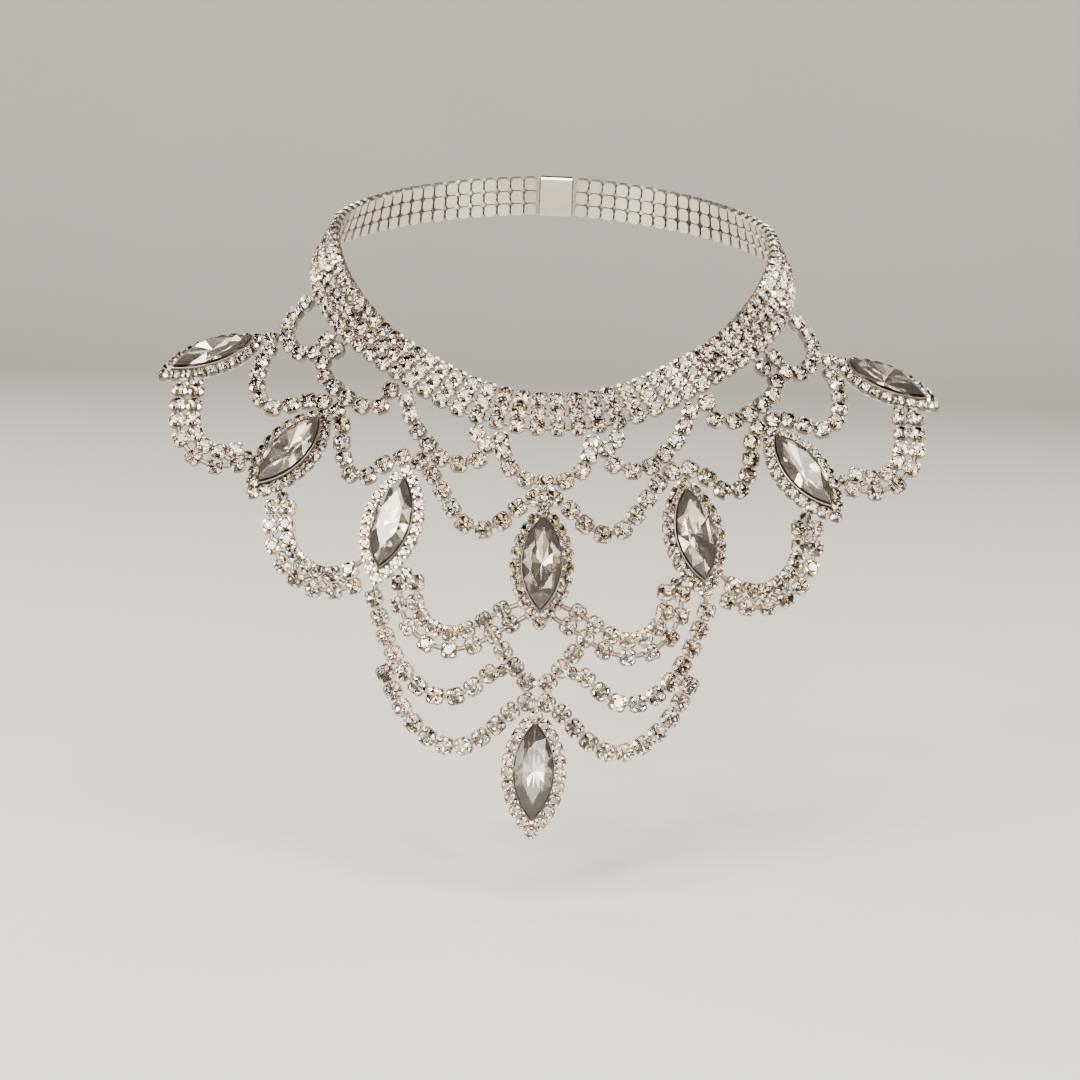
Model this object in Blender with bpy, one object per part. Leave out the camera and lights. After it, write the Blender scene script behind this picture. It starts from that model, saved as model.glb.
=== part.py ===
# Bib necklace of rhinestone cup chain, in the form it has when worn.
# Metres, +Z up, X across the front, and the front of the necklace looks along -Y.
# The origin is the middle of the neck opening, level with the collar's top edge at the front.

from math import asin, cos, pi, radians, sin, sqrt

import bmesh
import bpy
from mathutils import Vector

MM = 0.001

# Collar: three rows of stones in one band, low in front and high at the nape
neck_half_width = 51.2 * MM
neck_half_depth = 52.0 * MM
collar_rise = 50.0 * MM
collar_width = 10.2 * MM
collar_rows = 3
collar_back = 1.3 * MM
collar_crest = 2.4 * MM
collar_steps = 46
clasp_length = 9.0 * MM
clasp_height = 3.0 * MM

# Cup chain: one round stone in each square cup, with its corners cut
chain_pitch = 4.15 * MM
pair_pitch = 4.35 * MM
cup_width = 3.2 * MM
cup_height = 1.7 * MM
crown_height = 0.8 * MM
table_width = 1.7 * MM
row_gap = 0.35 * MM

# Navettes: a pointed oval stone in a flat setting with a rim for its halo of small stones
navette_length = 20.0 * MM
navette_width = 8.2 * MM
navette_table = 0.55
halo_cup = 2.6 * MM
halo_margin = 0.2 * MM
setting_top = navette_length / 2 + 1.0 * MM
setting_foot = navette_length / 2 + halo_cup + 1.5 * MM
setting_floor = 1.0 * MM
setting_rim = 1.9 * MM
seat_height = 1.7 * MM
seat_inset = 0.7 * MM
tip_cut = 0.4 * MM
stone_girdle = 1.3 * MM
stone_top = 2.7 * MM

# Gap between pieces that touch on the real necklace, and where a chain hangs from another piece
piece_gap = 0.3 * MM
hang_gap = 1.0 * MM

# The collar's rise and flare round the neck, from the front (0 degrees) to the nape
# columns: angle, share of collar_rise, lean of the band from upright in degrees
COLLAR_FORM = [
    (0, 0.000, 31),
    (15, 0.034, 34),
    (30, 0.132, 47),
    (45, 0.256, 53),
    (60, 0.424, 44),
    (75, 0.590, 32),
    (90, 0.710, 28),
    (115, 0.830, 22),
    (145, 0.940, 17),
    (180, 1.000, 14),
]

# Where each scallop's two ends hang from the collar, in degrees from the front
SCALLOP_ENDS = {
    "scallop_1": (12.6, 27.3),
    "scallop_2": (31.2, 46.2),
    "scallop_3": (50.0, 65.5),
}
center_scallop_end = 8.2

# The curved form that the chains lie on: how far forward it is, in mm, at each height
# columns: half width, then the depth at each of DRAPE_HEIGHTS
DRAPE_HEIGHTS = (-97, -60, -35, -22, -12, -4, 4, 8, 14)
DRAPE = [
    (0, 86.0, 80.2, 73.0, 67.6, 61.7, 54.3, 45.0, 41.0, 36.0),
    (16, 85.4, 79.6, 72.5, 67.1, 61.2, 53.8, 44.4, 40.0, 34.0),
    (32, 82.8, 77.2, 70.4, 64.8, 58.8, 53.2, 47.0, 43.0, 36.0),
    (45, 79.0, 73.8, 67.2, 61.0, 54.6, 49.0, 43.0, 39.6, 33.5),
    (54, 75.0, 70.6, 64.5, 58.3, 51.2, 44.5, 37.0, 33.0, 25.5),
    (63, 71.0, 67.8, 62.8, 57.4, 50.2, 43.0, 33.0, 27.5, 17.5),
    (72, 67.0, 64.5, 61.0, 56.8, 50.4, 42.8, 31.0, 24.0, 12.0),
    (85, 62.0, 61.0, 59.5, 56.8, 51.2, 43.0, 29.0, 21.0, 8.0),
    (100, 58.5, 58.0, 57.5, 56.0, 52.0, 44.0, 28.0, 19.0, 4.0),
]

# Where each navette lies: middle (x, z) and the way that its lower end points, in mm
NAVETTES = {
    "center": ((0.0, -34.3), (0.0, -1.0)),
    "pendant": ((0.0, -75.9), (0.0, -1.0)),
    "1": ((31.7, -27.6), (4.1, -17.3)),
    "2": ((55.5, -15.0), (10.4, -12.5)),
    "3": ((76.2, 3.4), (15.2, -6.6)),
}

# The chosen points of the chains' routes on the right half, (x, z) in mm as seen from the front
ROUTES = {
    "scallop_center": [(8.8, -13.2), (6.8, -16.2), (3.6, -17.8), (0.0, -18.2)],
    "scallop_1": [(12.9, -12.4), (15.2, -14.5), (18.8, -15.1), (22.5, -14.0), (25.5, -11.3), (28.2, -8.3)],
    "scallop_2": [(35.4, -3.9), (38.6, -4.8), (42.3, -3.7), (46.2, -1.4), (49.2, 1.0), (49.9, 4.0)],
    "scallop_3": [(52.1, 5.8), (55.5, 5.2), (58.5, 6.9), (59.9, 9.9), (58.9, 13.0)],
    "swag_0_1": [(9.2, -26.4), (12.7, -27.9), (16.5, -27.0), (19.2, -24.2), (21.3, -21.2)],
    "swag_1_2": [(38.2, -18.8), (41.4, -18.6), (43.2, -15.8), (44.0, -12.6)],
    "swag_2_3": [(56.7, -5.6), (60.3, -6.4), (63.4, -5.0), (64.9, -2.0), (65.0, 1.4), (64.4, 4.0)],
    "double_0_1": [(6.9, -45.1), (10.2, -47.2), (13.8, -49.4), (17.3, -50.6), (21.7, -50.1),
                   (25.3, -47.8), (27.5, -44.0), (27.8, -39.3)],
    "double_1_2": [(39.8, -39.2), (43.6, -40.4), (47.6, -40.4), (51.2, -38.8), (54.2, -36.2),
                   (56.0, -32.9), (56.7, -29.5), (56.6, -26.2)],
    "double_2_3": [(67.2, -16.6), (70.7, -17.1), (74.2, -16.4), (77.2, -14.3), (79.1, -11.1),
                   (79.8, -7.4), (80.0, -3.6)],
    "side_drape": [(33.4, -46.6), (32.0, -50.2), (30.2, -53.6), (27.9, -56.9), (24.8, -59.9),
                   (21.0, -61.7), (17.0, -61.6), (13.4, -59.6), (10.0, -56.7)],
    "lower_drape": [(31.6, -57.9), (29.7, -61.5), (27.4, -65.1), (24.5, -68.3), (20.7, -70.9),
                    (16.4, -71.9), (12.4, -70.4), (9.0, -67.8)],
    "v_arm": [(7.3, -52.0), (5.8, -54.0), (3.9, -56.0), (2.2, -58.0)],
}

# Ends of the chains beside a navette, from its middle: across and along it, in its own frame
crest_across = 2.0 * MM
crest_gap = 1.5 * MM
shoulder_across = 5.6 * MM
shoulder_drop = 1.9 * MM


def clear_scene():
    for thing in list(bpy.data.objects):
        bpy.data.objects.remove(thing, do_unlink=True)


def material(name, color, metallic, roughness):
    mat = bpy.data.materials.new(name)
    mat.use_nodes = True
    shader = mat.node_tree.nodes["Principled BSDF"]
    shader.inputs["Base Color"].default_value = (*color, 1.0)
    shader.inputs["Metallic"].default_value = metallic
    shader.inputs["Roughness"].default_value = roughness
    mat.diffuse_color = (*color, 1.0)
    return mat


def smooth(places, values, place, even=False):
    # A smooth curve through the values, numbers or vectors, at rising places.
    # It runs on straight past the ends, or is level there with even=True.
    last = len(places) - 1

    def slope(k):
        if k in (0, last) and even:
            return values[0] * 0
        if k in (0, last):
            a = min(k, last - 1)
            return (values[a + 1] - values[a]) / (places[a + 1] - places[a])
        before = places[k] - places[k - 1]
        after = places[k + 1] - places[k]
        rise = (values[k] - values[k - 1]) / before * after
        rise = rise + (values[k + 1] - values[k]) / after * before
        return rise / (before + after)

    if place <= places[0]:
        return values[0] + slope(0) * (place - places[0])
    if place >= places[last]:
        return values[last] + slope(last) * (place - places[last])
    k = 0
    while places[k + 1] < place:
        k += 1
    step = places[k + 1] - places[k]
    s = (place - places[k]) / step
    start = values[k] * (2 * s**3 - 3 * s**2 + 1) + slope(k) * step * (s**3 - 2 * s**2 + s)
    end = values[k + 1] * (3 * s**2 - 2 * s**3) + slope(k + 1) * step * (s**3 - s**2)
    return start + end


def drape_depth(x, z):
    widths = [row[0] * MM for row in DRAPE]
    heights = [h * MM for h in DRAPE_HEIGHTS]
    forward = [smooth(heights, [d * MM for d in row[1:]], z) for row in DRAPE]
    return -smooth(widths, forward, abs(x), even=True)


def drape_slopes(x, z):
    step = 0.4 * MM
    across = (drape_depth(x + step, z) - drape_depth(x - step, z)) / (2 * step)
    up = (drape_depth(x, z + step) - drape_depth(x, z - step)) / (2 * step)
    return across, up


def on_drape(x, z):
    return Vector((x, drape_depth(x, z), z))


def drape_normal(point):
    across, up = drape_slopes(point.x, point.z)
    return Vector((across, -1.0, up)).normalized()


def charted(name):
    return [on_drape(x * MM, z * MM) for x, z in ROUTES[name]]


def collar_form(angle, column):
    # The angle may run past the nape
    angle = abs(angle)
    if angle > 180.0:
        angle = 360.0 - angle
    return smooth([row[0] for row in COLLAR_FORM], [row[column] for row in COLLAR_FORM], angle, even=True)


def collar_top(angle):
    # A point on the collar's top edge; the angle is in degrees from the front, right side positive
    turn = radians(angle)
    rise = collar_rise * collar_form(angle, 1)
    return Vector((neck_half_width * sin(turn), -neck_half_depth * cos(turn), rise))


def collar_frame(angle):
    # Along the band, across it towards its lower edge, and out from its face
    along = (collar_top(angle + 1.0) - collar_top(angle - 1.0)).normalized()
    turn = radians(angle)
    outward = Vector((neck_half_depth * sin(turn), -neck_half_width * cos(turn), 0.0)).normalized()
    down = outward.cross(along).normalized()
    if down.z > 0:
        down = -down
    lean = radians(collar_form(angle, 2))
    across = down * cos(lean) + outward * sin(lean)
    face = along.cross(across).normalized()
    if face.dot(outward) < 0:
        face = -face
    return along, across, face


def below_collar(angle):
    # The middle of a cup that hangs from the collar's lower edge
    across = collar_frame(angle)[1]
    return collar_top(angle) + across * (collar_width + hang_gap + cup_width / 2)


class Navette:
    # A navette's place: its middle on the drape, and the axes across, up along it, and out
    def __init__(self, name, side):
        (x, z), (dx, dz) = NAVETTES[name]
        self.middle = on_drape(side * x * MM, z * MM)
        slope_across, slope_up = drape_slopes(self.middle.x, self.middle.z)
        down = Vector((side * dx, slope_across * side * dx + slope_up * dz, dz)).normalized()
        self.up = -down
        self.out = drape_normal(self.middle)
        self.across = self.up.cross(self.out)
        self.across.normalize()
        if self.across.x < 0:
            self.across = -self.across

    def at(self, across, up, out=0.0):
        return self.middle + self.across * across + self.up * up + self.out * out

    def beside(self, across, up):
        # The same place, but lying on the drape
        flat = self.at(across, up)
        return on_drape(flat.x, flat.z)


def outline_radius(half_length, half_width):
    return (half_length**2 + half_width**2) / (2 * half_width)


def pointed_oval(half_length, half_width, steps, top=None):
    # The outline of two arcs that meet in a point at each end, anticlockwise from the lower point.
    # top cuts the upper point off level at that height.
    radius = outline_radius(half_length, half_width)
    low = -asin(half_length / radius)
    high = -low if top is None else asin(top / radius)
    right = []
    for k in range(steps + 1):
        turn = low + (high - low) * k / steps
        right.append((radius * cos(turn) - (radius - half_width), radius * sin(turn)))
    last = len(right) if top is not None else len(right) - 1
    left = [(-x, y) for x, y in right[1:last]]
    return right + left[::-1]


def finish(name, bm, mats):
    # Twisted faces are split, so that every face is flat
    bmesh.ops.connect_verts_nonplanar(bm, angle_limit=radians(0.2), faces=bm.faces)
    bmesh.ops.recalc_face_normals(bm, faces=bm.faces)
    mesh = bpy.data.meshes.new(name)
    bm.to_mesh(mesh)
    bm.free()
    obj = bpy.data.objects.new(name, mesh)
    for mat in mats:
        mesh.materials.append(mat)
    bpy.context.scene.collection.objects.link(obj)
    return obj


def ring(bm, points):
    return [bm.verts.new(p) for p in points]


def join_rings(bm, lower, upper, index=0):
    for k in range(len(lower)):
        after = (k + 1) % len(lower)
        face = bm.faces.new((lower[k], lower[after], upper[after], upper[k]))
        face.material_index = index


def stones_along(points, pitch):
    # Even places on a smooth curve through the points, each with the way that the chain runs
    lengths = [0.0]
    for a, b in zip(points, points[1:]):
        lengths.append(lengths[-1] + (b - a).length)
    fine = 12 * len(points)
    curve = [smooth(lengths, points, lengths[-1] * k / fine) for k in range(fine + 1)]
    run = [0.0]
    for a, b in zip(curve, curve[1:]):
        run.append(run[-1] + (b - a).length)
    count = max(2, round(run[-1] / pitch) + 1)
    places = []
    for k in range(count):
        wanted = run[-1] * k / (count - 1)
        i = 0
        while i < fine - 1 and run[i + 1] < wanted:
            i += 1
        share = (wanted - run[i]) / (run[i + 1] - run[i])
        place = curve[i].lerp(curve[i + 1], share)
        ahead = curve[min(i + 2, fine)] - curve[max(i - 1, 0)]
        places.append((place, ahead.normalized()))
    return places


def cup_rings(bm, middle, ahead, out):
    # One cup with its cut stone: 8 corners below, 8 at the girdle and 4 round the table
    ahead = (ahead - out * ahead.dot(out)).normalized()
    side = out.cross(ahead)
    corner = cup_width / 2 / cos(pi / 8)
    base = []
    girdle = []
    for k in range(8):
        turn = pi / 8 + k * pi / 4
        spoke = (ahead * cos(turn) + side * sin(turn)) * corner
        base.append(middle + spoke)
        girdle.append(middle + spoke + out * cup_height)
    table = []
    for k in range(4):
        turn = pi / 4 + k * pi / 2
        spoke = (ahead * cos(turn) + side * sin(turn)) * (table_width / sqrt(2))
        table.append(middle + spoke + out * (cup_height + crown_height))
    return ring(bm, base), ring(bm, girdle), ring(bm, table)


def bridge(bm, one, other, walls):
    # A short link between two facing cup walls, given by the numbers of their corners
    (base, girdle, _), (next_base, next_girdle, _) = one, other
    a, b, c, d = walls
    bm.faces.new((base[a], base[b], next_base[c], next_base[d]))
    bm.faces.new((girdle[b], girdle[a], next_girdle[d], next_girdle[c]))
    bm.faces.new((base[b], girdle[b], next_girdle[c], next_base[c]))
    bm.faces.new((girdle[a], base[a], next_base[d], next_girdle[d]))


def cup_chain(name, rows, mats):
    # Rows of cups joined by short links, each cup with a stone of a table and 8 facets
    bm = bmesh.new()
    cups = [[cup_rings(bm, place, ahead, drape_normal(place)) for place, ahead in row] for row in rows]
    for r, row in enumerate(cups):
        for i, (base, girdle, table) in enumerate(row):
            open_walls = set()
            if i < len(row) - 1:
                open_walls.add(7)
            if i > 0:
                open_walls.add(3)
            if r < len(cups) - 1:
                open_walls.add(5)
            if r > 0:
                open_walls.add(1)
            bm.faces.new(base)
            for k in range(8):
                after = (k + 1) % 8
                if k not in open_walls:
                    bm.faces.new((base[k], base[after], girdle[after], girdle[k]))
            crown = [bm.faces.new(table)]
            for k in range(4):
                after = (k + 1) % 4
                corner = girdle[2 * k + 1]
                crown.append(bm.faces.new((girdle[2 * k], corner, table[k])))
                crown.append(bm.faces.new((corner, girdle[(2 * k + 2) % 8], table[after], table[k])))
            for face in crown:
                face.material_index = 1
    for row in cups:
        for one, other in zip(row, row[1:]):
            bridge(bm, one, other, (7, 0, 3, 4))
    for row, beside in zip(cups, cups[1:]):
        for one, other in zip(row, beside):
            bridge(bm, one, other, (5, 6, 1, 2))
    return finish(name, bm, mats)


def single_row(name, points, mats):
    return cup_chain(name, [stones_along(points, chain_pitch)], mats)


def double_row(name, points, mats):
    # Two chains side by side, each half a row's width from the route
    half = (cup_width + row_gap) / 2
    rows = []
    for way in (1, -1):
        row = []
        for place, ahead in stones_along(points, pair_pitch):
            side = drape_normal(place).cross(ahead).normalized()
            shifted = place + side * (half * way)
            row.append((on_drape(shifted.x, shifted.z), ahead))
        rows.append(row)
    return cup_chain(name, rows, mats)


def collar(mats):
    # One band with a rounded ridge for each row of stones, open at the nape for the clasp
    bm = bmesh.new()
    row = collar_width / collar_rows
    profile = [(0.0, 0.0)]
    for k in range(collar_rows):
        profile.append((row * (k + 0.28), collar_crest))
        profile.append((row * (k + 0.72), collar_crest))
        profile.append((row * (k + 1.0), collar_back))
    profile.insert(1, (0.0, collar_back))
    profile.append((collar_width, 0.0))
    end = 180.0 - (clasp_length / 2 + 1.8 * piece_gap) / neck_half_depth * 180.0 / pi
    rings = []
    for k in range(collar_steps + 1):
        angle = -end + 2 * end * k / collar_steps
        _, across, face = collar_frame(angle)
        rings.append(ring(bm, [collar_top(angle) + across * q + face * h for q, h in profile]))
    for a, b in zip(rings, rings[1:]):
        join_rings(bm, a, b)
    bm.faces.new(rings[0])
    bm.faces.new(rings[-1][::-1])
    return finish("collar", bm, mats)


def clasp(mats):
    # A plain box with bevelled edges that closes the collar at the nape
    bm = bmesh.new()
    along, across, face = collar_frame(180.0)
    middle = collar_top(180.0) + across * (collar_width / 2) + face * (collar_crest / 2)
    corners = []
    for a in (-0.5, 0.5):
        for b in (-0.5, 0.5):
            for c in (-0.5, 0.5):
                corner = along * (a * clasp_length) + across * (b * collar_width) + face * (c * clasp_height)
                corners.append(bm.verts.new(middle + corner))
    bmesh.ops.convex_hull(bm, input=corners)
    bmesh.ops.dissolve_limit(bm, angle_limit=radians(2), verts=bm.verts, edges=bm.edges)
    bmesh.ops.bevel(bm, geom=bm.edges[:], offset=0.4 * MM, segments=1, affect="EDGES")
    return finish("clasp", bm, mats)


def setting(name, navette, mats):
    # A flat back, a rim that carries the halo stones, and a raised seat for the navette stone
    half_width = navette_width / 2 + halo_cup + halo_margin
    outer = pointed_oval(setting_foot, half_width, 10, setting_top)
    inset = halo_cup + halo_margin
    inner_length = setting_foot - inset * 1.5
    inner = pointed_oval(inner_length, half_width - inset, 10, inner_length - tip_cut)
    seat_length = inner_length - seat_inset
    seat = pointed_oval(seat_length, half_width - inset - seat_inset, 10, seat_length - tip_cut)
    bm = bmesh.new()
    levels = [(outer, 0.0), (outer, setting_rim), (inner, setting_rim), (seat, setting_floor)]
    rings = [ring(bm, [navette.at(x, y, out) for x, y in outline]) for outline, out in levels]
    for a, b in zip(rings, rings[1:]):
        join_rings(bm, a, b)
    bm.faces.new(rings[0])
    bm.faces.new(rings[-1][::-1])
    return finish(name, bm, mats)


def navette_stone(name, navette, mats):
    # A pointed oval stone: a flat table, long crown facets, a thin girdle and a pavilion below
    bottom = setting_floor + piece_gap
    half_length = navette_length / 2
    half_width = navette_width / 2
    girdle = pointed_oval(half_length, half_width, 6)
    table = pointed_oval(half_length * navette_table, half_width * navette_table, 3)
    keel = pointed_oval(half_length * 0.6, half_width * 0.3, 3)
    bm = bmesh.new()
    levels = [(keel, bottom), (girdle, seat_height + stone_girdle), (table, seat_height + stone_top)]
    low, mid, high = [ring(bm, [navette.at(x, y, out) for x, y in outline]) for outline, out in levels]
    bm.faces.new(low)
    bm.faces.new(high)
    for small in (low, high):
        for k in range(len(small)):
            after = (k + 1) % len(small)
            a, b, c = mid[2 * k], mid[2 * k + 1], mid[(2 * k + 2) % len(mid)]
            bm.faces.new((a, b, small[k]))
            bm.faces.new((b, small[after], small[k]))
            bm.faces.new((b, c, small[after]))
    return finish(name, bm, mats)


def mirrored(points):
    return [Vector((-p.x, p.y, p.z)) for p in points]


def crest(navette, way):
    # The cup beside the point of a navette, where a swag ends
    return navette.beside(way * crest_across, setting_top + crest_gap + cup_width / 2)


def shoulder(navette, way):
    return navette.beside(way * shoulder_across, setting_top + hang_gap + cup_width / 2 - shoulder_drop)


def foot(navette):
    # The cup under the lower point of a navette
    return navette.beside(-0.6 * MM, -(setting_foot + hang_gap + cup_width / 2))


def chain_routes():
    # Every chain's points on the right half, by name; the scallop at the centre spans both halves
    nav = {name: Navette(name, 1) for name in NAVETTES}
    order = ["center", "1", "2", "3"]
    routes = {}
    half = [below_collar(center_scallop_end)] + charted("scallop_center")
    routes["scallop_center"] = half + mirrored(half[-2::-1])
    for name, (start, end) in SCALLOP_ENDS.items():
        routes[name] = [below_collar(start)] + charted(name) + [below_collar(end)]
    for k in range(3):
        left = nav[order[k]]
        right = nav[order[k + 1]]
        swag = [crest(left, 1), shoulder(left, 1)] + charted(f"swag_{k}_{k + 1}")
        routes[f"swag_{k}_{k + 1}"] = swag + [shoulder(right, -1), crest(right, -1)]
        routes[f"double_{k}_{k + 1}"] = charted(f"double_{k}_{k + 1}")
    pendant = nav["pendant"]
    routes["side_drape"] = [foot(nav["1"])] + charted("side_drape")
    routes["lower_drape"] = charted("lower_drape") + [shoulder(pendant, 1), crest(pendant, 1)]
    routes["v_arm"] = charted("v_arm")
    return routes


def build():
    clear_scene()
    silver = material("silver_plate", (0.78, 0.77, 0.75), 1.0, 0.22)
    crystal = material("clear_crystal", (0.86, 0.84, 0.80), 0.0, 0.05)
    both = [silver, crystal]
    collar([silver])
    clasp([silver])
    for name, points in chain_routes().items():
        if name == "scallop_center":
            single_row(name, points, both)
            continue
        make = double_row if name.startswith("double") else single_row
        make(f"{name}_right", points, both)
        make(f"{name}_left", mirrored(points), both)
    for name in NAVETTES:
        for side, word in ((1, "right"), (-1, "left")):
            label = name if name in ("center", "pendant") else f"{name}_{word}"
            if side < 0 and label == name:
                continue
            navette = Navette(name, side)
            setting(f"navette_setting_{label}", navette, [silver])
            navette_stone(f"navette_stone_{label}", navette, [crystal])


build()
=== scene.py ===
# %% [markdown]
# # A bib necklace of rhinestone cup chain
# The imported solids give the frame: every cup of the chains has a plain stone with a square table.
# Here each of them gets a real cup with four prongs and a brilliant-cut stone, and so do the
# collar and the halos, whose small stones the solids leave out. Every piece keeps its place. The
# cups are drawn about half a millimetre wider than the solids' own, to fill the rows as closely
# as the real ones do.

from math import asin, cos, pi, radians, sin, sqrt

import bmesh
import bpy
import numpy as np
from mathutils import Matrix, Vector


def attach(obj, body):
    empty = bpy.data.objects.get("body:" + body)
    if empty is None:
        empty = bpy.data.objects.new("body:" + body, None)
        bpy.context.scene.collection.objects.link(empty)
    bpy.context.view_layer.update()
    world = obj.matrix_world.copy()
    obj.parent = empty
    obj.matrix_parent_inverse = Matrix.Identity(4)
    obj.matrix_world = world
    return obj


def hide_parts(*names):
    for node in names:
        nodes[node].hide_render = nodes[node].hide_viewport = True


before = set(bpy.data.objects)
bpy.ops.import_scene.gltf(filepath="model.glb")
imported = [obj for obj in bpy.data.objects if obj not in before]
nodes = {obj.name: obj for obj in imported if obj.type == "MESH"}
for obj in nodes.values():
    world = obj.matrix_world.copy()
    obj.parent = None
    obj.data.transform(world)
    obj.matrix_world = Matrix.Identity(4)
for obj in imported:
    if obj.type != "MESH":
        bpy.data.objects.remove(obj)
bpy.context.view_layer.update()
MM = 0.001


# %% [markdown]
# Three helpers serve the whole file. Colours are written as the hex values one would pick on a
# screen, and shaders want them linear. A node is added with its settings and links in one call,
# the same way for materials and for Geometry Nodes. A finished mesh is put in the scene and
# rides on the necklace's one body.

# %% Helpers
def linear(hex_color):
    channels = [int(hex_color[i:i + 2], 16) / 255 for i in (1, 3, 5)]
    return (*[c / 12.92 if c <= 0.04045 else ((c + 0.055) / 1.055) ** 2.4 for c in channels], 1.0)


def add(tree, kind, inputs=None, **settings):
    node = tree.nodes.new(kind)
    for name, value in settings.items():
        setattr(node, name, value)
    for key, value in (inputs or {}).items():
        if isinstance(value, bpy.types.NodeSocket):
            tree.links.new(value, node.inputs[key])
        else:
            node.inputs[key].default_value = value
    return node


def wear(obj, slot, *replaced):
    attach(obj, "root")
    if replaced:
        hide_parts(*replaced)
    return obj


# %% [markdown]
# ## Materials
# The metal is brass with a thin plate of rhodium: bright, slightly warm and very smooth. It was
# stamped and tumbled, so its gloss is a little uneven. A fine noise breaks up its roughness, with
# grains as small as the picture can show. The walls of the cups get a darker copy of the plate,
# which is painted shade: it draws a dark line round each stone.

# %% Rhodium plate
grain_size = 0.4 * MM


def new_material(name):
    mat = bpy.data.materials.new(name)
    mat.use_nodes = True
    mat.node_tree.nodes.clear()
    return mat, mat.node_tree


def rhodium_plate(name, hex_color, smooth, worn):
    mat, tree = new_material(name)
    place = add(tree, "ShaderNodeTexCoord")
    grain = add(tree, "ShaderNodeTexNoise", {
        "Vector": place.outputs["Object"], "Scale": 1 / grain_size, "Detail": 3.0})
    gloss = add(tree, "ShaderNodeMapRange", {
        "Value": grain.outputs["Fac"], "To Min": smooth, "To Max": worn})
    shader = add(tree, "ShaderNodeBsdfPrincipled", {
        "Base Color": linear(hex_color), "Metallic": 1.0, "Roughness": gloss.outputs["Result"]})
    add(tree, "ShaderNodeOutputMaterial", {"Surface": shader.outputs["BSDF"]})
    return mat


plate = rhodium_plate("rhodium plated brass", "#DED8CE", 0.10, 0.28)
# A darker copy of the plate: painted shade for the cups' walls, the links and the bezels
painted_shade_plate = rhodium_plate("rhodium plate with painted shade", "#78716A", 0.25, 0.45)


# %% [markdown]
# A rhinestone is lead glass with a mirror foil painted on its back. Light goes in through the
# cut crown, bounces once or twice between the foiled facets, and leaves in another direction,
# so one stone shows a dozen small patches of bright and dark. That is made as it is: clear glass
# over a mirror. The foil is sprayed on by hand. Each facet of the foil also gets a random shade,
# painted light and shade that stands for reflections of dark and bright surroundings, and each
# stone gets its own tint between warm cream and cool lilac. The navettes have large facets that
# look softer, so their glass keeps a trace of haze; their painted facet shades are paler, and
# their foil is a little rougher.

# %% Lead glass and its foil
def tinted(tree, attribute, stops):
    # A colour ramp along an attribute between 0 and 1; stops are pairs of a place and a colour
    value = add(tree, "ShaderNodeAttribute", attribute_name=attribute)
    ramp = add(tree, "ShaderNodeValToRGB", {"Fac": value.outputs["Fac"]})
    elements = ramp.color_ramp.elements
    while len(elements) < len(stops):
        elements.new(0.5)
    for element, (place, _) in zip(elements, stops):
        element.position = place
    for element, (_, hex_color) in zip(elements, stops):
        element.color = linear(hex_color)
    return ramp.outputs["Color"]


def lead_glass(name, hex_color, clear):
    mat, tree = new_material(name)
    shader = add(tree, "ShaderNodeBsdfPrincipled", {
        "Base Color": linear(hex_color), "Roughness": 0.0, "IOR": 1.56, "Transmission Weight": clear})
    add(tree, "ShaderNodeOutputMaterial", {"Surface": shader.outputs["BSDF"]})
    return mat


def mirror_foil(name, stone_tints, painted_facet_shades, roughness):
    mat, tree = new_material(name)
    # The foil's colour is the stone's tint times a random shade for each facet, which is painted light
    # and shade
    color = add(tree, "ShaderNodeMix", {
        "Factor": 1.0, 6: tinted(tree, "tint", stone_tints), 7: tinted(tree, "facet", painted_facet_shades)},
        data_type="RGBA", blend_type="MULTIPLY")
    shader = add(tree, "ShaderNodeBsdfPrincipled", {
        "Base Color": color.outputs[2], "Metallic": 1.0, "Roughness": roughness})
    add(tree, "ShaderNodeOutputMaterial", {"Surface": shader.outputs["BSDF"]})
    return mat


stone_tints = [(0.0, "#F8EDDB"), (0.5, "#F8F0E2"), (0.8, "#F6F0E8"), (1.0, "#EFE8F2")]
# Shades for each facet of the foil: painted light and shade that stands for reflections of the
# surroundings
painted_facet_shades = [(0.0, "#1C1A19"), (0.25, "#65605B"), (0.5, "#DBD5CB"), (1.0, "#FFFFFF")]
navette_painted_shades = [(0.0, "#5E5B5A"), (0.2, "#CFCCCB"), (0.4, "#F7F4F1"), (1.0, "#FFFFFF")]
crystal = lead_glass("lead crystal", "#FFFFFF", 1.0)
navette_crystal = lead_glass("lead crystal of the navettes", "#F4F0EC", 0.98)
foil = mirror_foil("mirror foil with painted facet shades", stone_tints, painted_facet_shades, 0.05)
navette_foil = mirror_foil("mirror foil of the navettes with painted facet shades", stone_tints, navette_painted_shades, 0.09)


# %% [markdown]
# ## Camera, floor and light
# The camera stands half a metre in front, a little above the collar's front edge, looks down by 8
# degrees and leans by 2.3, so that the necklace fills the picture as it does in the photograph.

# %% Camera
camera_place = (-0.0006, -0.5077, 0.0322)
camera_pitch = 82.0
camera_lean = 2.3
focal_length = 69.77


def add_camera():
    data = bpy.data.cameras.new("camera")
    data.sensor_width = 36.0
    data.lens = focal_length
    camera = bpy.data.objects.new("camera", data)
    bpy.context.scene.collection.objects.link(camera)
    turn = Matrix.Rotation(radians(camera_pitch), 4, "X") @ Matrix.Rotation(radians(camera_lean), 4, "Z")
    camera.matrix_world = Matrix.Translation(camera_place) @ turn
    bpy.context.scene.camera = camera


add_camera()


# %% [markdown]
# The floor is a round bowl of matt white paper: flat in the middle, then bent up by a quarter
# turn into a wall, so that every side has a plain ground without an edge.

# %% Floor
floor_height = -0.103
floor_sides = 64
flat_radii = (0.4, 1.0, 1.6)
bend_radius = 0.8
rim_height = 1.0
patches_per_metre = 3.0


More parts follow.
